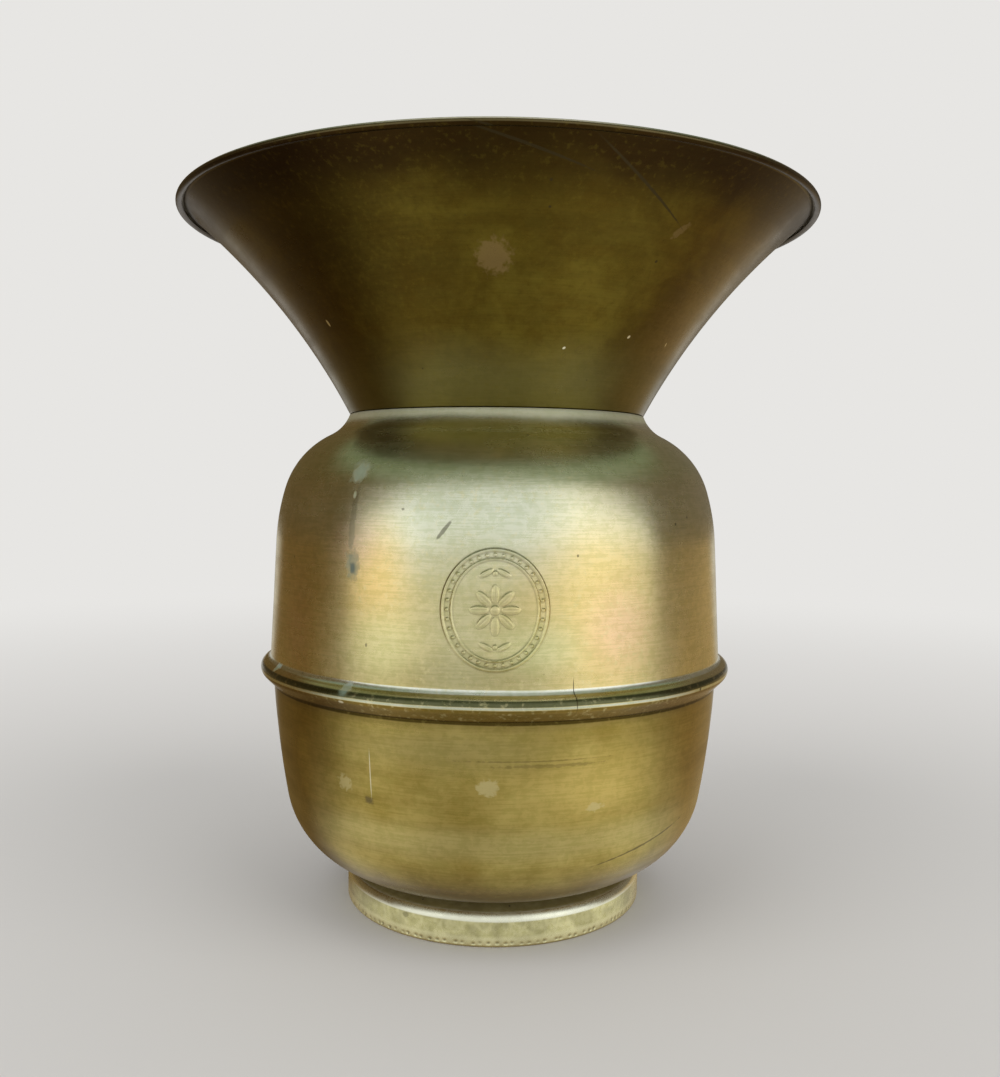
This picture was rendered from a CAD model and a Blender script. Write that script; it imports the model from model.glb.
from math import atan2, ceil, cos, pi, radians, sin, tan

import bpy
import numpy as np
from mathutils import Matrix, Vector


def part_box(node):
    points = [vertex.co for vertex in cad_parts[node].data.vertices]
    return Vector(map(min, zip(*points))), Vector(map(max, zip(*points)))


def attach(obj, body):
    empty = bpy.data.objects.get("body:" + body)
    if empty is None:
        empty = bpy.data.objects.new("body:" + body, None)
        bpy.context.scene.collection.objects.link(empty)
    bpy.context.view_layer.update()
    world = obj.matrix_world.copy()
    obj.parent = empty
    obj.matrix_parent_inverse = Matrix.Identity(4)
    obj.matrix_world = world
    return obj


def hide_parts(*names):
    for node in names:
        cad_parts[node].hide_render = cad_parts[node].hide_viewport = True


# Brass spittoon: finely turned skins that stand for the spun shells, with aged brass finishes.
# Metres and radians. The front is -Y, and an azimuth is measured from the front towards +X.

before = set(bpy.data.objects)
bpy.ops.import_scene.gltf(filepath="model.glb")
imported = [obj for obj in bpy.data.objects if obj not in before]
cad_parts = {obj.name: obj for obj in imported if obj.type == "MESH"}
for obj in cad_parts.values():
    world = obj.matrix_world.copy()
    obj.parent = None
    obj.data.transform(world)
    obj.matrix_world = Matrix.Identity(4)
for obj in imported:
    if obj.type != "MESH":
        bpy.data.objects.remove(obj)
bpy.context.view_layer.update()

mm = 0.001

# Spun sheet
sheet = 0.8 * mm
edge_round = 0.2 * mm

# Places that the frame gives
funnel_low, funnel_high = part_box("mouth_funnel")
body_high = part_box("upper_body")[1]
bowl_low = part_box("lower_bowl")[0]
foot_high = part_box("foot_ring")[1]

# Funnel
overall_height = funnel_high.z
mouth_radius = 128.2 * mm
roll_radius = 1.3 * mm
curl_angle = radians(255)
flange_width = 1.9 * mm
flange_bend_radius = 1.0 * mm
flare_turn = radians(22.6)
seat_width = 0.25 * mm
seat_corner_radius = 0.9 * mm
spigot_clearance = 0.3 * mm
spigot_bend_radius = 0.25 * mm
tuck_radius = 5.0 * mm
tuck_angle = radians(40)

# Upper body
neck_height = body_high.z
neck_radius = 61.0 * mm
neck_lean = radians(20.6)
shoulder_lean = radians(63.8)
crown_lean = radians(16.7)
wall_lean = radians(2.8)
shoulder_base_radius = 90.7 * mm
shoulder_arc_shares = (0.175, 0.394, 1.0)
bead_height = 97.8 * mm
bead_round = 3.4 * mm
bead_lean = radians(70)
bead_fillet_radius = 2.6 * mm
bead_return_angle = radians(45)

# Embossed cartouche
cartouche_clearance = 5.9 * mm
cartouche_width = 37.0 * mm
cartouche_length = 41.6 * mm
cartouche_relief = 0.6 * mm
border_width = 1.1 * mm
bead_string_inset = 2.15 * mm
string_bead_radius = 0.62 * mm
string_bead_count = 36
inner_border_inset = 3.3 * mm
inner_border_width = 0.6 * mm
petal_count = 8
petal_length = 6.6 * mm
petal_width = 3.1 * mm
petal_orbit = 5.4 * mm
boss_radius = 1.7 * mm
leaf_length = 5.4 * mm
leaf_width = 1.9 * mm
leaf_orbit = 12.4 * mm
leaf_spread = 3.0 * mm
leaf_tilt = radians(28)
bud_radius = 0.9 * mm
stamp_softness = 0.35 * mm
petal_vein_reach = petal_width / 16
leaf_vein_reach = leaf_width / 12

# Heights of the ornament's parts as shares of the cartouche's relief
inner_border_share = 0.8
bead_share = 0.9
vein_share = 0.3

# Lower bowl
waist_solder_gap = 0.35 * mm
lap_height = 6.0 * mm
sleeve_arc_radius = 100.0 * mm
bowl_top_lean = radians(3.1)
bowl_wall_lean = radians(10.2)
bowl_corner_radius = 36.8 * mm
bowl_floor_height = bowl_low.z

# Foot
foot_radius = foot_high.x
foot_height = foot_high.z
foot_bend_outside = 1.0 * mm
foot_flange_width = 5.0 * mm
foot_slope_width = 3.43 * mm
foot_slope_lean = radians(62)
foot_shoulder_round = 4.5 * mm
crimp_width = 4.6 * mm

# Nicks that the crimping left along the foot's bottom edge
nick_pitch = 3.2 * mm
nick_jitter = 0.9 * mm
nick_height = 1.6 * mm
nick_width = 0.6 * mm
nick_rise = 0.45 * mm
nick_depth = 0.55 * mm
nick_depth_shares = (0.3, 1.0)
nick_reach = 3
nick_seed = 7

# Handling has left the walls a little uneven
wave_depth = 0.10 * mm
wave_fade = 8.0 * mm
wave_counts = (2, 3, 5, 8)
wave_phase = 2.4
wave_twist_height = 40 * mm

# Fineness of the skins
wall_gap = 1.5 * mm
arc_step = radians(6)
turn_steps = 400
relief_gap = 0.25 * mm
relief_margin = 1.5 * mm
softening_rounds = 3
foot_gap = 0.35 * mm
foot_steps = 1200
crease_angle = radians(50)


class Path:
    """Outline in the (radius, height) plane, drawn as runs and arcs that carry on from each other."""

    def __init__(self, start, heading, gap=wall_gap):
        self.points = [Vector(start)]
        self.headings = [Vector(heading).normalized()]
        self.gap = gap

    def run(self, length, gap=None):
        count = max(1, ceil(length / (gap or self.gap)))
        start, heading = self.points[-1], self.headings[-1]
        for step in range(1, count + 1):
            self.points.append(start + heading * (length * step / count))
            self.headings.append(heading.copy())

    def arc(self, radius, turn, gap=None):
        count = max(2, ceil(abs(turn) / arc_step), ceil(radius * abs(turn) / (gap or self.gap)))
        start, heading = self.points[-1], self.headings[-1]
        side = 1 if turn > 0 else -1
        spoke = Vector((-heading.y, heading.x)) * (radius * side)
        for step in range(1, count + 1):
            turned = Matrix.Rotation(turn * step / count, 2)
            self.points.append(start + spoke - turned @ spoke)
            self.headings.append(turned @ heading)

    def end(self):
        return self.points[-1]


def rising(lean):
    """Direction up and outwards at an angle from the vertical."""
    return (sin(lean), cos(lean))


def falling(lean):
    """Direction down and outwards at an angle from the vertical."""
    return (sin(lean), -cos(lean))


def soften(raised):
    """The relief, averaged over its neighbours a few steps away."""
    for _ in range(softening_rounds):
        for axis in (0, 1):
            raised = (np.roll(raised, 1, axis) + raised + np.roll(raised, -1, axis)) / 3
    return raised


def turned_skin(name, path, metal_side, azimuths, materials, relief=None):
    """Closed skin of a spun sheet, turned round the axis and joined to the shared frame.

    The path is the sheet's shown side. metal_side is 1 where the metal lies to the path's left and
    -1 where it lies to its right. relief(azimuths, radius, height) says how far the shown side
    stands out. The mesh keeps each vertex's place along the path and the depth of hollows in relief.
    """
    points = np.array([tuple(point) for point in path.points])
    headings = np.array([tuple(heading) for heading in path.headings])
    outwards = np.stack([headings[:, 1], -headings[:, 0]], axis=1) * metal_side
    steps = np.linalg.norm(np.diff(points, axis=0), axis=1)
    lengths = np.concatenate([[0], np.cumsum(steps)])
    on_axis = points[-1][0] < edge_round
    shown = points.copy()
    shown[0] += headings[0] * edge_round
    if not on_axis:
        shown[-1] -= headings[-1] * edge_round

    kept = [0]
    for place in range(1, len(points)):
        turned = Vector(headings[kept[-1]]).angle(Vector(headings[place]))
        if lengths[place] - lengths[kept[-1]] >= path.gap or turned >= arc_step or place == len(points) - 1:
            kept.append(place)

    def cut(place):
        """Corners of the sheet's cut end, from the shown side to the hidden one."""
        middle = points[place] - outwards[place] * sheet / 2
        spread = outwards[place] * (sheet / 2 - edge_round)
        return [middle + spread, middle - spread]

    raised = np.zeros((len(points), len(azimuths)))
    if relief:
        raised = np.array([relief(azimuths, *point) for point in points])
    hollow = np.clip((soften(raised) - raised) / (cartouche_relief / 2), 0, 1)
    flat = np.zeros(len(azimuths))
    rows = [(shown[i], outwards[i], lengths[i], raised[i], hollow[i]) for i in range(len(points))]
    ends = [] if on_axis else [(corner, outwards[-1], lengths[-1], flat, flat) for corner in cut(-1)]
    hidden = [(shown[i] - outwards[i] * sheet, outwards[i], lengths[i], flat, flat) for i in reversed(kept)]
    starts = [(corner, outwards[0], lengths[0], flat, flat) for corner in reversed(cut(0))]
    shown_rows = len(rows)
    rows += ends + hidden + starts

    sines, cosines = np.sin(azimuths), np.cos(azimuths)
    vertices, along, hollows, rings = [], [], [], []
    for place, outward, length, out, deep in rows:
        if place[0] < edge_round:
            rings.append(np.full(len(azimuths), len(vertices)))
            vertices.append((0.0, 0.0, place[1]))
            along.append(length)
            hollows.append(0.0)
            continue
        radius = place[0] + outward[0] * out
        height = place[1] + outward[1] * out
        rings.append(len(vertices) + np.arange(len(azimuths)))
        vertices += np.stack([radius * sines, -radius * cosines, height + flat], axis=1).tolist()
        along += [length] * len(azimuths)
        hollows += deep.tolist()

    faces, slots = [], []
    for row, (ring, following) in enumerate(zip(rings, rings[1:] + rings[:1])):
        if ring[0] == ring[1] and following[0] == following[1]:
            continue
        corners = [ring, np.roll(ring, -1), np.roll(following, -1), following]
        if ring[0] == ring[1]:
            corners = corners[1:]
        elif following[0] == following[1]:
            corners = corners[:3]
        quads = np.stack(corners[::metal_side], axis=1).tolist()
        faces += quads
        slots += [int(row + 1 >= shown_rows)] * len(quads)

    mesh = bpy.data.meshes.new(name)
    mesh.from_pydata(vertices, [], faces)
    for attribute, values in (("along", along), ("hollow", hollows)):
        places = mesh.attributes.new(attribute, "FLOAT", "POINT").data
        places.foreach_set("value", np.array(values, np.float32))
    for material in materials:
        mesh.materials.append(material)
    mesh.polygons.foreach_set("use_smooth", np.ones(len(faces), bool))
    mesh.polygons.foreach_set("material_index", np.array(slots, np.int32))
    mesh.set_sharp_from_angle(angle=crease_angle)
    mesh.update()
    skin = bpy.data.objects.new(name, mesh)
    bpy.context.scene.collection.objects.link(skin)
    return skin


def place_skin(skin, body, node):
    """Lets a skin move with its body and stand for a node of the frame."""
    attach(skin, body)
    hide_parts(node)


class Graph:
    """Short calls for the nodes of one material or world."""

    def __init__(self, owner):
        self.owner = owner
        owner.use_nodes = True
        self.nodes = owner.node_tree.nodes
        self.links = owner.node_tree.links

    def put(self, socket, value):
        if isinstance(value, bpy.types.NodeSocket):
            self.links.new(value, socket)
        elif isinstance(value, tuple) and len(value) == 3 and socket.type == "RGBA":
            socket.default_value = (*value, 1)
        elif value is not None:
            socket.default_value = value

    def node(self, kind, *values, **settings):
        made = self.nodes.new(kind)
        for setting, value in settings.items():
            setattr(made, setting, value)
        for place, value in enumerate(values):
            self.put(made.inputs[place], value)
        return made

    def math(self, operation, first, second=None, third=None):
        return self.node("ShaderNodeMath", first, second, third, operation=operation).outputs[0]

    def product(self, first, *others):
        for other in others:
            first = self.math("MULTIPLY", first, other)
        return first

    def vector(self, x, y, z):
        return self.node("ShaderNodeCombineXYZ", x, y, z).outputs[0]

    def span(self, value, low, high, to_low=0.0, to_high=1.0):
        """Eases from to_low to to_high as the value goes from low to high."""
        return self.node(
            "ShaderNodeMapRange", value, low, high, to_low, to_high, interpolation_type="SMOOTHSTEP"
        ).outputs[0]

    def mix(self, share, first, second, blend="MIX"):
        made = self.node("ShaderNodeMix", data_type="RGBA", blend_type=blend)
        self.put(made.inputs[0], share)
        self.put(made.inputs[6], first)
        self.put(made.inputs[7], second)
        return made.outputs[2]

    def noise(self, vector, scale, detail=3.0, roughness=0.5, distortion=0.0):
        made = self.nodes.new("ShaderNodeTexNoise")
        self.put(made.inputs["Vector"], vector)
        made.inputs["Scale"].default_value = scale
        made.inputs["Detail"].default_value = detail
        made.inputs["Roughness"].default_value = roughness
        made.inputs["Distortion"].default_value = distortion
        return made.outputs["Fac"]

    def polar(self, place):
        """Splits a place or direction into its parts, azimuth and radius."""
        self.place = place
        split = self.node("ShaderNodeSeparateXYZ", place).outputs
        self.x, self.y, self.z = split[0], split[1], split[2]
        self.azimuth = self.math("ARCTAN2", self.x, self.math("MULTIPLY", self.y, -1.0))
        squares = self.math("MULTIPLY_ADD", self.x, self.x, self.math("MULTIPLY", self.y, self.y))
        self.radius = self.math("SQRT", squares)

    def spun(self):
        """Places on a turned piece, with the place along its outline."""
        self.polar(self.node("ShaderNodeTexCoord").outputs["Object"])
        self.east = self.math("DIVIDE", self.x, self.radius)
        self.north = self.math("DIVIDE", self.y, self.radius)
        self.along = self.node("ShaderNodeAttribute", attribute_name="along").outputs["Fac"]
        self.hollow = self.node("ShaderNodeAttribute", attribute_name="hollow").outputs["Fac"]

    def lines(self, around, period, detail=2.0, roughness=0.6):
        """Streaks left by the lathe: long the way round, and one period apart along the outline."""
        stretched = self.vector(
            self.math("MULTIPLY", self.east, around),
            self.math("MULTIPLY", self.north, around),
            self.math("DIVIDE", self.along, period),
        )
        return self.noise(stretched, 1.0, detail, roughness)

    def band(self, low, high, edge):
        """Mask of the heights between low and high, eased over an uneven edge outside them."""
        height = self.math("MULTIPLY_ADD", self.sway, edge, self.z)
        return self.product(self.span(height, low - edge, low), self.span(height, high + edge, high))

    def mark(self, azimuth, height, width, length, tilt, ragged, soft):
        """Mask of an oval mark on the surface, with an uneven and more or less soft outline."""
        across = self.product(self.math("SUBTRACT", self.azimuth, azimuth), self.radius)
        rise = self.math("SUBTRACT", self.z, height)
        squares = 0.0
        for cosine, sine, reach in ((cos(tilt), sin(tilt), width / 2), (-sin(tilt), cos(tilt), length / 2)):
            sideways = self.math("MULTIPLY", across, cosine / reach)
            part = self.math("MULTIPLY_ADD", rise, sine / reach, sideways)
            squares = self.math("MULTIPLY_ADD", part, part, squares)
        outline = self.math("MULTIPLY_ADD", self.rag, ragged, self.math("SQRT", squares))
        return self.span(outline, 1 + soft, 1 - soft)

    def specks(self, size, share):
        """Mask of small round specks in a share of the cells of a grid."""
        cells = self.nodes.new("ShaderNodeTexVoronoi")
        self.put(cells.inputs["Vector"], self.place)
        cells.inputs["Scale"].default_value = 1 / (speck_spacing * size)
        split = self.node("ShaderNodeSeparateColor", cells.outputs["Color"]).outputs
        reach = self.span(split[1], 0.0, 1.0, *speck_reach_shares)
        spot = self.span(self.math("SUBTRACT", cells.outputs["Distance"], reach), 0.04, -0.02)
        return self.product(spot, self.math("LESS_THAN", split[0], share))


# Tones of what lies on the brass
verdigris_tone = (0.20, 0.27, 0.20)
tarnish_tone = (0.045, 0.032, 0.012)
grime_tone = (0.05, 0.034, 0.012)
bare_tone = (0.85, 0.78, 0.55)
copper_tone = (0.27, 0.175, 0.065)
haze_tone = (0.62, 0.52, 0.24)
pale_tone = (0.84, 0.88, 0.72)
mottle_tint = (0.76, 0.80, 0.66)

# Sizes in the brass: ragged outlines, sways of a band, mottling, specks, pits and lines from the lathe
rag_size = 2 * mm
sway_size = 30 * mm
sway_share = 0.12
mottle_size = 3 * mm
mottle_period = 0.7 * mm
speck_size = 0.9 * mm
pit_size = 5 * mm
lathe_period = 0.45 * mm
lathe_depth = 0.05 * mm

# Specks: the side of a cell in speck sizes, and the least and greatest reach as shares of a cell
speck_spacing = 6
speck_reach_shares = (0.03, 0.11)

# How soft the outlines of patches, marks and stains are, and how ragged those of patches
patch_softness = 0.9
mark_softness = 0.25
stain_softness = 0.5
patch_raggedness = 0.6

# Gloss: lines from the lathe stretch the reflections, and grime and stains dull them
anisotropy = 0.7
anisotropy_turn = 0.25
coat_roughness = 0.2
hollow_dullness = 0.7
speck_darkness = 0.75
dull_metallic = 0.25
dull_roughness = 0.3


def brass(
    name, tones, roughness, cloud_sizes=(60, 18), cloud_share=0.5, line_share=0.15, fleck_share=0.15,
    line_period=1.2, bands=(), films=(), patches=(), marks=(), stains=(), speck_share=0.05,
    mottle_share=0.0, grain=0.2, coat=0.0,
):
    """Spun brass of three tones, with what use and age have left on it.

    Lengths are in millimetres, and azimuths and tilts in degrees. bands are (low, high, edge, tone,
    share), patches are (azimuth, height, width, length, tone, share), and marks are (azimuth,
    height, width, length, tilt, ragged, tone, share). films are bands, and stains are marks, that
    dull the metal as well.
    """
    graph = Graph(bpy.data.materials.new(name))
    shader = graph.nodes["Principled BSDF"]
    graph.spun()
    graph.rag = graph.math("SUBTRACT", graph.noise(graph.place, 1 / rag_size, 3.0, 0.6), 0.5)
    swaying = graph.noise(graph.place, 1 / sway_size, 2.0, 0.5, 0.4)
    graph.sway = graph.span(swaying, 0.3, 0.7, -sway_share, sway_share)
    dark, middle, light = tones
    broad = graph.noise(graph.place, 1 / (cloud_sizes[0] * mm), 3.0, 0.55, 0.6)
    small = graph.noise(graph.place, 1 / (cloud_sizes[1] * mm), 6.0, 0.62, 0.3)
    period = line_period * mm
    streaks = graph.lines(3.0, period, 4.0, 0.6)
    folds = graph.lines(1.2, 6 * period, 3.0, 0.5)

    def banded(low, high, edge):
        return graph.band(low * mm, high * mm, edge * mm)

    def marked(azimuth, height, width, length, tilt, ragged, soft):
        sizes = (size * mm for size in (height, width, length))
        return graph.mark(radians(azimuth), *sizes, radians(tilt), ragged, soft)

    tone = graph.mix(graph.span(small, 0.36, 0.64), middle, light)
    tone = graph.mix(graph.span(broad, 0.62, 0.38, 0.0, cloud_share), tone, dark)
    tone = graph.mix(graph.span(folds, 0.42, 0.66, 0.0, line_share), tone, dark)
    tone = graph.mix(graph.span(streaks, 0.5, 0.75, 0.0, line_share), tone, dark)
    tone = graph.mix(graph.span(graph.rag, -0.02, -0.2, 0.0, fleck_share), tone, dark)
    for azimuth, height, width, length, laid, share in patches:
        mask = marked(azimuth, height, width, length, 0, patch_raggedness, patch_softness)
        tone = graph.mix(graph.product(mask, share), tone, laid)
    for low, high, edge, laid, share in bands:
        tone = graph.mix(graph.product(banded(low, high, edge), share), tone, laid)
    tone = graph.mix(graph.span(graph.rag, 0.04, 0.2, 0.0, fleck_share), tone, light)
    mottled = graph.noise(graph.place, 1 / mottle_size, 5.0, 0.65, 0.5)
    mottled = graph.math("ADD", mottled, graph.lines(6.0, mottle_period, 3.0, 0.7))
    tone = graph.mix(graph.span(mottled, 0.88, 1.14, 0.0, mottle_share), tone, mottle_tint, "MULTIPLY")
    dull = graph.product(graph.hollow, hollow_dullness)
    tone = graph.mix(dull, tone, grime_tone)
    for low, high, edge, laid, share in films:
        mask = graph.product(banded(low, high, edge), share)
        tone = graph.mix(mask, tone, laid)
        dull = graph.math("MAXIMUM", dull, mask)
    for *outline, laid, share in marks:
        tone = graph.mix(graph.product(marked(*outline, mark_softness), share), tone, laid)
    speckled = graph.specks(speck_size, speck_share)
    tone = graph.mix(graph.product(speckled, speck_darkness), tone, tarnish_tone)
    for *outline, laid, share in stains:
        mask = graph.product(marked(*outline, stain_softness), share)
        tone = graph.mix(mask, tone, laid)
        dull = graph.math("MAXIMUM", dull, mask)

    graph.put(shader.inputs["Base Color"], tone)
    graph.put(shader.inputs["Metallic"], graph.span(dull, 0.0, 1.0, 1.0, dull_metallic))
    finish = graph.span(graph.math("ADD", small, folds), 0.7, 1.3, *roughness)
    graph.put(shader.inputs["Roughness"], graph.math("MULTIPLY_ADD", dull, dull_roughness, finish))
    shader.inputs["Anisotropic"].default_value = anisotropy
    shader.inputs["Anisotropic Rotation"].default_value = anisotropy_turn
    shader.inputs["Coat Weight"].default_value = coat
    shader.inputs["Coat Roughness"].default_value = coat_roughness
    tangent = graph.node("ShaderNodeTangent", direction_type="RADIAL", axis="Z").outputs[0]
    graph.put(shader.inputs["Tangent"], tangent)
    turned = graph.lines(2.0, lathe_period, 3.0, 0.7)
    pitted = graph.noise(graph.place, 1 / pit_size, 4.0, 0.6)
    bump = graph.nodes.new("ShaderNodeBump")
    bump.inputs["Strength"].default_value = grain
    bump.inputs["Distance"].default_value = lathe_depth
    graph.put(bump.inputs["Height"], graph.math("ADD", turned, graph.product(pitted, 2.0)))
    graph.put(shader.inputs["Normal"], bump.outputs[0])
    return graph.owner


funnel_finish = brass(
    "funnel_brass",
    ((0.065, 0.036, 0.003), (0.125, 0.083, 0.008), (0.16, 0.115, 0.014)),
    (0.26, 0.38),
    cloud_sizes=(50, 11),
    cloud_share=0.55,
    line_share=0.15,
    fleck_share=0.2,
    bands=(
        (199, 208, 20, (0.17, 0.15, 0.05), 0.6),
        (275, 278.6, 14, (0.022, 0.008, 0.001), 0.85),
        (278.6, 282, 0.4, (0.15, 0.115, 0.05), 0.85),
        (279.4, 282, 0.3, (0.70, 0.64, 0.48), 0.85),
    ),
    patches=(
        (90.0, 240, 80, 80, (0.40, 0.30, 0.12), 0.9),
        (-94.0, 250, 70, 60, (0.32, 0.25, 0.14), 0.8),
        (-36.0, 262, 60, 40, (0.045, 0.026, 0.002), 0.8),
    ),
    marks=(
        (-0.9, 247, 11, 9, 0, 1.6, copper_tone, 0.6),
        (36.8, 257.9, 6, 2.6, 40, 2.0, (0.27, 0.19, 0.08), 0.45),
        (4.3, 274.6, 42, 0.7, -13, 0.6, tarnish_tone, 0.75),
        (24.5, 268.2, 44, 0.7, -23, 0.6, tarnish_tone, 0.75),
        (-51.5, 231, 1.2, 2.2, 15, 0.8, bare_tone, 0.9),
        (18.8, 220.3, 1.1, 0.7, 20, 0.8, bare_tone, 0.8),
        (38.5, 225.6, 1.3, 1.0, 30, 0.8, bare_tone, 0.9),
        (57.0, 225.3, 0.7, 1.4, 10, 0.8, bare_tone, 0.7),
    ),
    speck_share=0.04,
    mottle_share=0.35,
    coat=0.06,
)
body_finish = brass(
    "body_brass",
    ((0.62, 0.49, 0.21), (0.82, 0.69, 0.34), (0.90, 0.78, 0.42)),
    (0.22, 0.30),
    cloud_share=0.5,
    line_share=0.15,
    fleck_share=0.27,
    bands=(
        (166, 174, 20, pale_tone, 0.35),
        (179, 190, 9, (0.76, 0.77, 0.48), 0.75),
        (196.0, 198.5, 3.5, (0.97, 0.97, 0.80), 0.9),
        (198.9, 201, 0.3, (0.97, 0.97, 0.85), 0.9),
        (101.6, 102.8, 0.4, (0.95, 0.97, 0.88), 0.85),
        (98.2, 99.8, 0.5, (0.10, 0.105, 0.05), 0.95),
        (97.2, 97.7, 0.3, (0.66, 0.68, 0.54), 0.9),
        (88, 96.7, 0.4, (0.20, 0.12, 0.012), 0.95),
    ),
    films=((198.2, 201, 3.5, (0.62, 0.62, 0.36), 0.5),),
    patches=(
        (-8.0, 107, 80, 12, (0.46, 0.38, 0.16), 0.8),
        (-4.0, 160, 110, 32, pale_tone, 0.75),
        (-28.0, 140, 22, 40, (0.98, 0.70, 0.27), 0.85),
        (24.0, 132, 36, 64, (0.98, 0.74, 0.30), 0.8),
        (-7.0, 128, 26, 56, (0.64, 0.61, 0.36), 0.6),
        (-56.0, 130, 40, 70, (0.66, 0.50, 0.24), 0.6),
        (54.0, 130, 40, 70, (0.64, 0.58, 0.38), 0.6),
        (66.0, 156, 36, 50, (0.95, 0.82, 0.50), 0.8),
        (28.0, 123, 22, 24, (0.98, 0.64, 0.42), 0.6),
        (9.0, 117, 24, 16, (0.76, 0.76, 0.40), 0.6),
        (-26.0, 117, 26, 20, (0.80, 0.76, 0.38), 0.6),
        (-33.0, 152, 18, 16, (0.96, 0.70, 0.52), 0.5),
        (-52.0, 118, 16, 30, (0.74, 0.52, 0.34), 0.45),
    ),
    marks=(
        (-11.2, 156.6, 1.3, 8.0, -38, 1.0, tarnish_tone, 0.6),
        (16.8, 101.1, 0.35, 10.5, 0, 0.3, tarnish_tone, 0.9),
        (-33.7, 96, 2.2, 1.0, 0, 0.8, bare_tone, 0.7),
        (-34.0, 158, 2.6, 26, 0, 1.5, (0.45, 0.43, 0.28), 0.55),
    ),
    stains=(
        (-34.6, 176.4, 7.0, 6.5, 30, 2.0, verdigris_tone, 0.7),
        (-34.6, 176.4, 3.2, 3.0, 30, 1.2, (0.34, 0.40, 0.27), 0.8),
        (-34.5, 167.9, 1.2, 2.4, 0, 1.0, (0.40, 0.42, 0.27), 0.7),
        (-33.5, 143.5, 5.5, 9.0, 0, 2.0, verdigris_tone, 0.6),
        (-33.3, 142.5, 2.2, 3.6, 0, 1.0, (0.10, 0.15, 0.14), 0.8),
        (-32.9, 100.3, 4.2, 4.0, 30, 2.0, verdigris_tone, 0.8),
        (-61.6, 101.6, 3.4, 2.6, 0, 2.0, verdigris_tone, 0.8),
        (-21.0, 163.4, 1.1, 0.8, 0, 1.5, tarnish_tone, 0.5),
        (18.0, 148.1, 0.8, 0.9, 0, 1.0, tarnish_tone, 0.6),
        (-28.9, 116.1, 0.8, 1.2, 0, 1.0, tarnish_tone, 0.6),
    ),
    line_period=1.0,
    speck_share=0.08,
    mottle_share=0.55,
    grain=0.24,
)
bowl_finish = brass(
    "bowl_brass",
    ((0.27, 0.18, 0.034), (0.42, 0.315, 0.08), (0.52, 0.40, 0.12)),
    (0.26, 0.38),
    cloud_share=0.45,
    line_share=0.25,
    bands=(
        (46, 48, 9.0, (0.66, 0.57, 0.27), 0.28),
        (15, 22, 18.0, (0.12, 0.065, 0.006), 0.9),
        (91, 120, 4.0, (0.24, 0.17, 0.05), 0.65),
        (90.9, 93, 0.5, (0.05, 0.03, 0.004), 0.85),
    ),
    patches=(
        (22.0, 68, 52, 22, (0.68, 0.50, 0.15), 0.6),
        (-12.0, 82, 66, 14, (0.40, 0.32, 0.12), 0.6),
    ),
    marks=(
        (12.0, 76.2, 36, 1.2, 0, 2.4, tarnish_tone, 0.3),
        (8.0, 78.0, 44, 0.6, 0, 2.4, tarnish_tone, 0.3),
        (-1.4, 68.8, 6.4, 5.4, 0, 2.4, haze_tone, 0.7),
        (-36.6, 65.2, 6.0, 5.0, 0, 2.4, haze_tone, 0.6),
        (23.7, 59.8, 5.4, 3.0, 0, 2.4, haze_tone, 0.6),
        (-28.9, 70, 0.45, 17, -1, 0.3, bare_tone, 0.6),
        (40.0, 41.0, 44, 0.8, 12, 1.2, tarnish_tone, 0.6),
    ),
    stains=((-29.8, 60.4, 3.2, 2.8, 0, 1.6, tarnish_tone, 0.55),),
    speck_share=0.05,
    mottle_share=0.6,
)
foot_finish = brass(
    "foot_brass",
    ((0.30, 0.27, 0.12), (0.64, 0.59, 0.28), (0.80, 0.74, 0.40)),
    (0.22, 0.32),
    cloud_sizes=(9, 2.5),
    line_share=0.15,
    bands=(
        (-1, 0.3, 0.5, grime_tone, 0.5),
        (0.8, 3.2, 1.6, (0.92, 0.86, 0.52), 0.5),
        (10.0, 12.6, 0.6, (0.96, 0.95, 0.78), 0.85),
    ),
    films=((13.0, 16, 0.6, (0.25, 0.19, 0.055), 0.6),),
    marks=((-32.4, 8.5, 2.6, 2.2, 0, 1.6, tarnish_tone, 0.35),),
    speck_share=0.2,
)
inside_finish = brass(
    "inside_brass",
    ((0.06, 0.045, 0.02), (0.16, 0.12, 0.05), (0.24, 0.18, 0.08)),
    (0.4, 0.55),
    speck_share=0.2,
)


def plain_metal(name, dark, light, roughness, cloud_size, grain, metallic):
    """Metal of two tones in clouds, with a fine grain."""
    graph = Graph(bpy.data.materials.new(name))
    shader = graph.nodes["Principled BSDF"]
    place = graph.node("ShaderNodeTexCoord").outputs["Object"]
    clouds = graph.noise(place, 1 / cloud_size, 5.0, 0.6, 0.3)
    fine = graph.noise(place, grains_per_cloud / cloud_size, 4.0, 0.65)
    graph.put(shader.inputs["Base Color"], graph.mix(graph.span(clouds, 0.35, 0.65), dark, light))
    graph.put(shader.inputs["Roughness"], graph.span(fine, 0.3, 0.7, *roughness))
    shader.inputs["Metallic"].default_value = metallic
    bump = graph.nodes.new("ShaderNodeBump")
    bump.inputs["Strength"].default_value = grain
    bump.inputs["Distance"].default_value = grain_depth
    graph.put(bump.inputs["Height"], fine)
    graph.put(shader.inputs["Normal"], bump.outputs[0])
    return graph.owner


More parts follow.
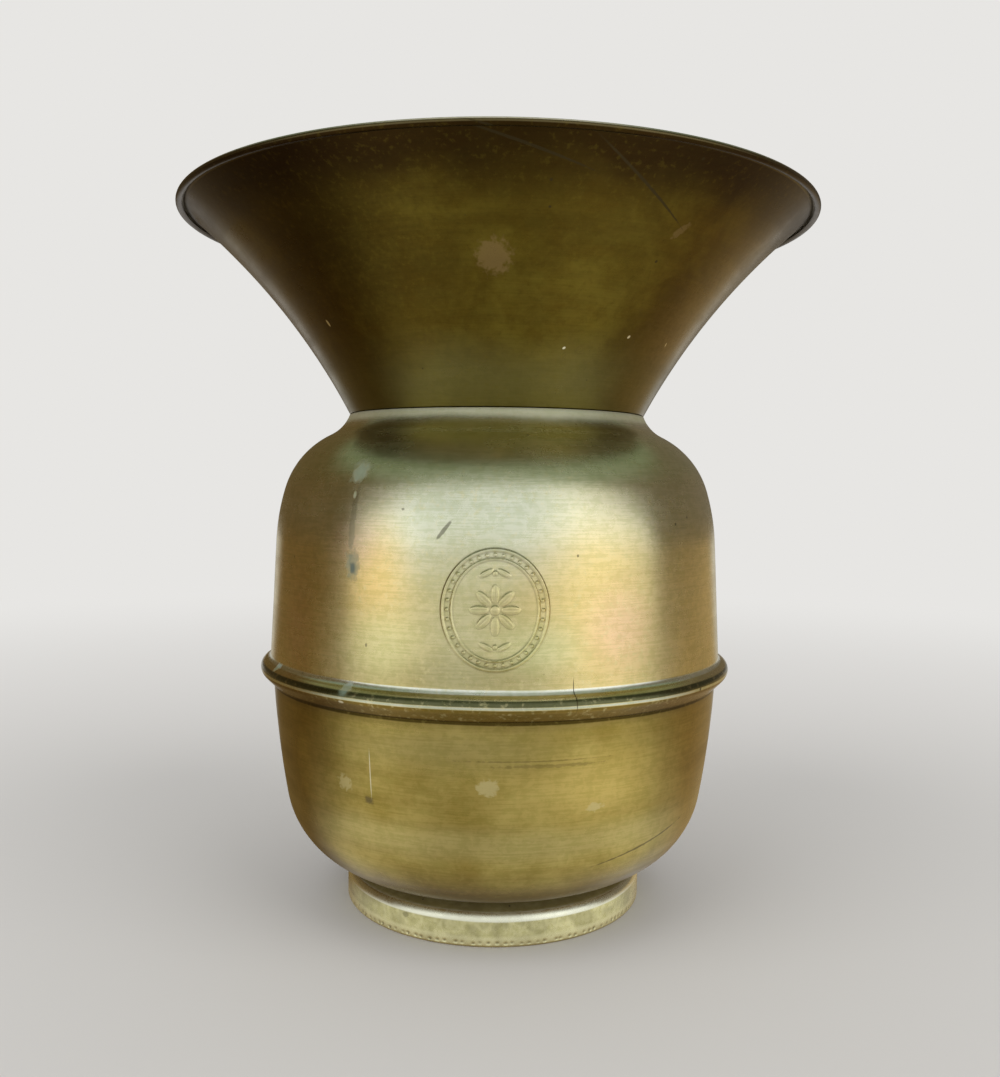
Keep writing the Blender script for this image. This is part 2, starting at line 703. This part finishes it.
# Finishes of the pieces that are shown as they come with the frame. A row is the name, the dark and
# the light tone, the roughness, the size of the clouds, the grain, the share of metal and the nodes.
grains_per_cloud = 8
grain_depth = 0.1 * mm
plain_finishes = (
    ("steel_wire", (0.20, 0.15, 0.11), (0.45, 0.42, 0.38), (0.35, 0.5), 4 * mm, 0.2, 1.0, ["rim_wire"]),
    ("solder", (0.22, 0.21, 0.19), (0.48, 0.47, 0.45), (0.45, 0.65), 3 * mm, 0.5, 1.0,
     ["waist_solder", "foot_solder"]),
    ("cast_iron", (0.035, 0.03, 0.027), (0.11, 0.09, 0.075), (0.6, 0.85), 7 * mm, 1.0, 0.6,
     ["ballast_weight"]),
    ("plate_brass", (0.32, 0.23, 0.09), (0.46, 0.36, 0.16), (0.38, 0.55), 12 * mm, 0.3, 1.0,
     ["base_plate"]),
)
for *look, nodes in plain_finishes:
    plain_finish = plain_metal(*look)
    for node in nodes:
        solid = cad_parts[node].data
        solid.materials.clear()
        solid.materials.append(plain_finish)


def even_turn(steps=turn_steps):
    """Azimuths all round, evenly spaced."""
    return np.arange(steps) * (2 * pi / steps) - pi


def waves(azimuths, height, low, high):
    """Slight unevenness of a spun wall, which dies out towards its two ends."""
    fade = min(1, max(0, (height - low) / wave_fade)) * min(1, max(0, (high - height) / wave_fade))
    twist = height / wave_twist_height
    total = sum(
        np.sin(count * azimuths + wave_phase * count + twist * (-1) ** count) / count**0.5
        for count in wave_counts
    )
    return wave_depth * fade * total


# Funnel: drawn from the spigot's tucked edge up to the end of the curl, along its underside
neck_bore_radius = neck_radius - sheet / cos(neck_lean)
spigot_radius = neck_bore_radius - spigot_clearance
tuck_start = (spigot_radius - tuck_radius * (1 - cos(tuck_angle)), funnel_low.z)
flange_height = overall_height - sheet
flange_end = mouth_radius - roll_radius
flange_foot = Vector((flange_end - flange_width, flange_height))

funnel_path = Path(tuck_start, rising(tuck_angle))
funnel_path.arc(tuck_radius, tuck_angle)
funnel_path.run(neck_height - spigot_bend_radius - funnel_path.end().y)
funnel_path.arc(spigot_bend_radius, -pi / 2)
funnel_path.run(seat_width)
flare_rise = flange_foot - funnel_path.end()
flare_slope = atan2(flare_rise.x, flare_rise.y)
flare_lean = flare_slope - flare_turn / 2
flange_drop = flange_bend_radius * (1 - sin(flare_slope + flare_turn / 2))
funnel_path.arc(seat_corner_radius, pi / 2 - flare_lean)
flare_rise = flange_foot - Vector((0, flange_drop)) - funnel_path.end()
flare_half_turn = atan2(flare_rise.x, flare_rise.y) - flare_lean
funnel_path.arc(flare_rise.length / (2 * sin(flare_half_turn)), -2 * flare_half_turn)
flare_top_lean = flare_lean + 2 * flare_half_turn
funnel_path.arc(flange_drop / (1 - sin(flare_top_lean)), flare_top_lean - pi / 2)
funnel_path.run(flange_end - funnel_path.end().x)
funnel_path.arc(roll_radius - sheet, -curl_angle)

mouth_funnel = turned_skin(
    "funnel_skin",
    funnel_path,
    1,
    even_turn(),
    [funnel_finish, funnel_finish],
    lambda azimuths, radius, height: waves(
        azimuths, height, neck_height + wave_fade, flange_height - wave_fade
    ),
)
place_skin(mouth_funnel, "funnel", "mouth_funnel")

# Upper body: drawn on its outer side, from the neck's edge down to the bead's lip
shoulder_leans = (neck_lean, shoulder_lean, crown_lean, wall_lean)
shoulder_turns = list(zip(shoulder_arc_shares, shoulder_leans, shoulder_leans[1:]))
shoulder_scale = (shoulder_base_radius - neck_radius) / sum(
    share * abs(cos(start) - cos(end)) for share, start, end in shoulder_turns
)
shoulder_base_height = neck_height - shoulder_scale * sum(
    share * abs(sin(start) - sin(end)) for share, start, end in shoulder_turns
)
waist_height = (
    bead_height
    + (bead_fillet_radius + bead_round) * sin(bead_lean)
    - bead_fillet_radius * sin(wall_lean)
)
waist_radius = shoulder_base_radius + (shoulder_base_height - waist_height) * tan(wall_lean)
bowl_radius = waist_radius - sheet / cos(wall_lean) - waist_solder_gap
cartouche_height = waist_height + cartouche_clearance + cartouche_length / 2
wall_length = (shoulder_base_height - waist_height) / cos(wall_lean)

body_path = Path((neck_radius, neck_height), falling(neck_lean))
for share, start, end in shoulder_turns:
    body_path.arc(share * shoulder_scale, end - start, relief_gap if end == wall_lean else None)
body_path.run(wall_length, relief_gap)
body_path.arc(bead_fillet_radius, bead_lean - wall_lean)
body_path.arc(bead_round, -bead_lean - bead_return_angle)
body_path.run((body_path.end().x - bowl_radius - sheet / 2) / cos(bead_return_angle))


def ridge(gap, half_width):
    """Rounded ridge over the places closer to its middle than half its width."""
    return (1 + np.cos(pi * np.clip(gap / (half_width + stamp_softness), -1, 1))) / 2


def oval_reach(across, rise, half_width, half_length):
    """Distance from an oval's middle as a share of the way to its edge."""
    return np.sqrt((across / half_width) ** 2 + (rise / half_length) ** 2)


def oval_gap(across, rise, half_width, half_length):
    """Distance outside an oval's edge; it is negative inside."""
    reach = oval_reach(across, rise, half_width, half_length)
    steepness = oval_reach(across, rise, half_width**2, half_length**2) / np.maximum(reach, 1e-6)
    return (reach - 1) / np.maximum(steepness, 1 / half_length)


def dome(reach):
    """Rounded top that falls to nothing at a reach of one."""
    return np.sqrt(np.maximum(0, 1 - reach**2))


def turned_about(across, rise, angle):
    """Coordinates in axes that are turned by an angle."""
    return across * cos(angle) + rise * sin(angle), rise * cos(angle) - across * sin(angle)


def cartouche(across, rise):
    """Stamped ornament: two oval borders, a string of beads, a rosette and leaves with buds."""
    half_width, half_length = cartouche_width / 2, cartouche_length / 2
    border = border_width / 2
    height = ridge(oval_gap(across, rise, half_width - border, half_length - border), border)
    inner = inner_border_inset + inner_border_width / 2
    inner_gap = oval_gap(across, rise, half_width - inner, half_length - inner)
    height = np.maximum(height, ridge(inner_gap, inner_border_width / 2) * inner_border_share)
    for count in range(string_bead_count):
        turn = 2 * pi * count / string_bead_count
        bead_across = (half_width - bead_string_inset) * cos(turn)
        bead_rise = (half_length - bead_string_inset) * sin(turn)
        reach = np.hypot(across - bead_across, rise - bead_rise) / string_bead_radius
        height = np.maximum(height, dome(reach) * bead_share)
    for count in range(petal_count):
        turned, out = turned_about(across, rise, 2 * pi * count / petal_count)
        reach = oval_reach(turned - petal_orbit, out, petal_length / 2, petal_width / 2)
        vein = 1 - vein_share * ridge(out, petal_vein_reach)
        height = np.maximum(height, dome(reach) * vein)
    height = np.maximum(height, dome(np.hypot(across, rise) / boss_radius))
    for side in (1, -1):
        bud = np.hypot(across, rise - side * leaf_orbit) / bud_radius
        height = np.maximum(height, dome(bud) * bead_share)
        for way in (1, -1):
            turned, out = turned_about(
                across - way * leaf_spread, rise - side * leaf_orbit, -way * side * leaf_tilt
            )
            reach = oval_reach(turned, out, leaf_length / 2, leaf_width / 2)
            vein = 1 - vein_share * ridge(out, leaf_vein_reach)
            height = np.maximum(height, dome(reach) * vein)
    return cartouche_relief * height


def body_relief(azimuths, radius, height):
    """Unevenness of the wall and the stamped cartouche."""
    out = waves(azimuths, height, waist_height + wave_fade, neck_height - 2 * wave_fade)
    rise = height - cartouche_height
    if abs(rise) < cartouche_length / 2 + relief_margin:
        across = radius * np.sin(azimuths)
        near = (np.abs(azimuths) < pi / 2) & (np.abs(across) < cartouche_width / 2 + relief_margin)
        out[near] += cartouche(across[near], rise)
    return out


# Finer azimuths at the cartouche than round the rest of the body
relief_reach = (cartouche_width / 2 + relief_margin) / shoulder_base_radius
body_turn = even_turn()
body_turn = body_turn[np.abs(body_turn) > relief_reach]
relief_step = relief_gap / shoulder_base_radius
body_turn = np.sort(np.concatenate([body_turn, np.arange(-relief_reach, relief_reach, relief_step)]))

upper_body = turned_skin("body_skin", body_path, -1, body_turn, [body_finish, inside_finish], body_relief)
place_skin(upper_body, "body", "upper_body")

# Lower bowl: drawn on its outer side, from the lap's top down to the middle of the floor
bowl_wall_drop = (
    waist_height
    - bowl_floor_height
    - sleeve_arc_radius * (sin(wall_lean) + sin(bowl_top_lean))
    - bowl_corner_radius * (1 - sin(bowl_wall_lean))
)
bowl_wall_radius = bowl_wall_drop / (sin(bowl_wall_lean) - sin(bowl_top_lean))
bowl_path = Path((bowl_radius - lap_height * tan(wall_lean), waist_height + lap_height), falling(wall_lean))
bowl_path.run(lap_height / cos(wall_lean))
bowl_path.arc(sleeve_arc_radius, -wall_lean - bowl_top_lean)
bowl_path.arc(bowl_wall_radius, bowl_top_lean - bowl_wall_lean)
bowl_path.arc(bowl_corner_radius, bowl_wall_lean - pi / 2)
bowl_path.run(bowl_path.end().x)

lower_bowl = turned_skin(
    "bowl_skin",
    bowl_path,
    -1,
    even_turn(),
    [bowl_finish, inside_finish],
    lambda azimuths, radius, height: waves(
        azimuths, height, foot_height + wave_fade, bead_height - 2 * wave_fade
    ),
)
place_skin(lower_bowl, "body", "lower_bowl")

# Foot: drawn on its outer side, from the flange's inner edge to the crimped lip
foot_slope_radius = foot_radius - foot_shoulder_round * (1 - cos(foot_slope_lean)) - foot_slope_width
foot_flange_edge = foot_slope_radius - foot_bend_outside * cos(foot_slope_lean)
foot_path = Path((foot_flange_edge - foot_flange_width, foot_height), (1, 0), foot_gap)
foot_path.run(foot_flange_width, wall_gap)
foot_path.arc(foot_bend_outside, foot_slope_lean - pi / 2)
foot_path.run(foot_slope_width / sin(foot_slope_lean))
foot_path.arc(foot_shoulder_round, -foot_slope_lean)
foot_path.run(foot_path.end().y - foot_bend_outside)
foot_path.arc(foot_bend_outside, -pi / 2)
foot_path.run(crimp_width, wall_gap)

chance = np.random.default_rng(nick_seed)
nick_count = round(2 * pi * foot_radius / nick_pitch)
nick_turns = np.arange(nick_count) * (2 * pi / nick_count) - pi
nick_turns += chance.uniform(-nick_jitter, nick_jitter, nick_count) / foot_radius
nick_heights = nick_height + chance.uniform(-nick_rise / 2, nick_rise / 2, nick_count)
nick_depths = nick_depth * chance.uniform(*nick_depth_shares, nick_count)


def foot_relief(azimuths, radius, height):
    """Nicks along the bottom edge of the foot's band."""
    out = np.zeros(len(azimuths))
    if abs(height - nick_height) < nick_reach * nick_rise:
        for turn, middle, depth in zip(nick_turns, nick_heights, nick_depths):
            across = (azimuths - turn) * radius / nick_width
            near = np.abs(across) < nick_reach
            out[near] -= depth * np.exp(-across[near] ** 2 - ((height - middle) / nick_rise) ** 2)
    return out


foot_ring = turned_skin("foot_skin", foot_path, -1, even_turn(foot_steps), [foot_finish] * 2, foot_relief)
place_skin(foot_ring, "body", "foot_ring")

# Camera
camera_distance = 437.1 * mm
camera_height = 173.4 * mm
camera_pan = radians(0.236)
camera_pitch = radians(3.199)
camera_roll = radians(0.515)
sensor = 36.0
image_height = 1077
focal_pixels = 1035.59

level_forward = Vector((sin(camera_pan), cos(camera_pan), 0))
forward = level_forward * cos(camera_pitch) - Vector((0, 0, sin(camera_pitch)))
level_right = Vector((cos(camera_pan), -sin(camera_pan), 0))
level_up = level_right.cross(forward)
right = level_right * cos(camera_roll) + level_up * sin(camera_roll)
up = level_up * cos(camera_roll) - level_right * sin(camera_roll)
camera_data = bpy.data.cameras.new("camera")
camera_data.sensor_width = sensor
camera_data.lens = sensor * focal_pixels / image_height
camera = bpy.data.objects.new("camera", camera_data)
bpy.context.scene.collection.objects.link(camera)
camera.matrix_world = Matrix((
    (right.x, up.x, -forward.x, 0),
    (right.y, up.y, -forward.y, -camera_distance),
    (right.z, up.z, -forward.z, camera_height),
    (0, 0, 0, 1),
))
bpy.context.scene.camera = camera

# Room that the metal reflects: soft windows in front, the background behind, dim sides and ceiling
background_tone = (0.80, 0.79, 0.77)
side_tones = ((0.115, 0.08, 0.036), (0.155, 0.13, 0.095))
table_side_tones = ((0.27, 0.19, 0.08), (0.60, 0.46, 0.25))
side_turn = radians(20)
ceiling_tone = (0.21, 0.25, 0.19)
window_tone = (0.97, 1.0, 1.02)
window_left = radians(-76)
window_right = radians(86)
window_edge = radians(12)
table_window_edge = radians(44)
window_top = radians(41.5)
window_top_edge = radians(19)
window_arch = 0.27
window_arch_middle = radians(5)
window_middle = 0.90
window_peaks = ((radians(-50), radians(30), 0.26), (radians(50), radians(38), 0.33))
ceiling_start = radians(30)
skylight_edge = radians(60)
skylight_full = radians(74)
skylight = 0.85
backdrop_side = radians(150)
backdrop_edge = radians(14)


def reflected_room(graph, sides, edge, elevation=None):
    """Colour of the room in the direction of the graph's azimuth, level or at an elevation."""
    window = graph.product(
        graph.span(graph.azimuth, window_left - edge / 2, window_left + edge / 2),
        graph.span(graph.azimuth, window_right + edge / 2, window_right - edge / 2),
    )
    backdrop = graph.span(graph.math("ABSOLUTE", graph.azimuth), backdrop_side - backdrop_edge, backdrop_side)
    side = graph.mix(graph.span(graph.azimuth, -side_turn, side_turn), *sides)
    dim = side
    if elevation:
        aside = graph.math("SUBTRACT", graph.azimuth, window_arch_middle)
        arched = graph.math("MULTIPLY_ADD", graph.product(aside, aside), window_arch, elevation)
        below_top = graph.span(arched, window_top + window_top_edge / 2, window_top - window_top_edge / 2)
        window, backdrop = graph.product(window, below_top), graph.product(backdrop, below_top)
        dim = graph.mix(graph.span(elevation, ceiling_start, window_top), side, ceiling_tone)
        overhead = graph.span(elevation, skylight_edge, skylight_full, 0.0, skylight)
        dim = graph.mix(overhead, dim, window_tone)
    strength = window_middle
    for place, half_width, extra in window_peaks:
        away = graph.math("ABSOLUTE", graph.math("SUBTRACT", graph.azimuth, place))
        strength = graph.math("ADD", strength, graph.span(away, half_width, 0.0, 0.0, extra))
    window_light = graph.mix(1.0, strength, window_tone, "MULTIPLY")
    return graph.mix(backdrop, graph.mix(window, dim, window_light), background_tone)


# Floor that fades into the background
floor_tone = (0.74, 0.725, 0.70)
floor_radius = 6.0
floor_drop = 0.02 * mm
floor_sides = 96
fade_start = 0.25
fade_end = 1.2
under_radius = 0.06
clear_radius = 0.07
under_tone = (0.3, 0.24, 0.16)

floor_graph = Graph(bpy.data.materials.new("floor"))
floor_graph.polar(floor_graph.node("ShaderNodeTexCoord").outputs["Object"])
matte = floor_graph.nodes["Principled BSDF"]
matte.inputs["Base Color"].default_value = (*floor_tone, 1)
matte.inputs["Roughness"].default_value = 1.0
matte.inputs["Specular IOR Level"].default_value = 0.0
glossy = floor_graph.node("ShaderNodeLightPath").outputs["Is Glossy Ray"]
lit = reflected_room(floor_graph, table_side_tones, table_window_edge)
lit = floor_graph.mix(1.0, lit, floor_tone, "MULTIPLY")
clear = floor_graph.span(floor_graph.radius, under_radius, clear_radius)
lit = floor_graph.mix(clear, under_tone, lit)
faded = floor_graph.node(
    "ShaderNodeMixShader",
    floor_graph.math("MAXIMUM", glossy, floor_graph.span(floor_graph.radius, fade_start, fade_end)),
    matte.outputs[0],
    floor_graph.node("ShaderNodeEmission", floor_graph.mix(glossy, background_tone, lit), 1.0).outputs[0],
)
one_sided = floor_graph.node(
    "ShaderNodeMixShader",
    floor_graph.node("ShaderNodeNewGeometry").outputs["Backfacing"],
    faded.outputs[0],
    floor_graph.node("ShaderNodeBsdfTransparent").outputs[0],
)
floor_graph.links.new(one_sided.outputs[0], floor_graph.nodes["Material Output"].inputs[0])

floor_turns = [2 * pi * side / floor_sides for side in range(floor_sides)]
floor_mesh = bpy.data.meshes.new("floor")
floor_mesh.from_pydata(
    [(floor_radius * cos(turn), floor_radius * sin(turn), -floor_drop) for turn in floor_turns],
    [],
    [list(range(floor_sides))],
)
floor_mesh.materials.append(floor_graph.owner)
floor = bpy.data.objects.new("floor", floor_mesh)
bpy.context.scene.collection.objects.link(floor)

# World: an even background for the camera, an even light for matte surfaces, and the room for metal
ambient = 0.62
world = Graph(bpy.data.worlds.new("world"))
bpy.context.scene.world = world.owner
world.polar(world.node("ShaderNodeTexCoord").outputs["Generated"])
elevation = world.math("ARCTAN2", world.z, world.radius)
world_rays = world.node("ShaderNodeLightPath").outputs
plain = world.mix(world_rays["Is Camera Ray"], (ambient, ambient, ambient), background_tone)
room = reflected_room(world, side_tones, window_edge, elevation)
seen = world.mix(world_rays["Is Glossy Ray"], plain, room)
world.put(world.nodes["Background"].inputs["Color"], seen)


def soft_sun(name, azimuth, elevation, irradiance, spread):
    """Wide sun that shines from an azimuth and elevation; it lights matte surfaces only."""
    data = bpy.data.lights.new(name, "SUN")
    data.energy = irradiance
    data.angle = spread
    lamp = bpy.data.objects.new(name, data)
    bpy.context.scene.collection.objects.link(lamp)
    source = Vector((sin(azimuth) * cos(elevation), -cos(azimuth) * cos(elevation), sin(elevation)))
    lamp.rotation_euler = source.to_track_quat("Z", "Y").to_euler()
    lamp.visible_glossy = False


sun_height = radians(48)
sun_spread = radians(40)
sun_irradiance = 0.55
for sun, peak in zip(("left_sun", "right_sun"), window_peaks):
    soft_sun(sun, peak[0], sun_height, sun_irradiance, sun_spread)

bpy.context.scene.view_settings.view_transform = "Standard"
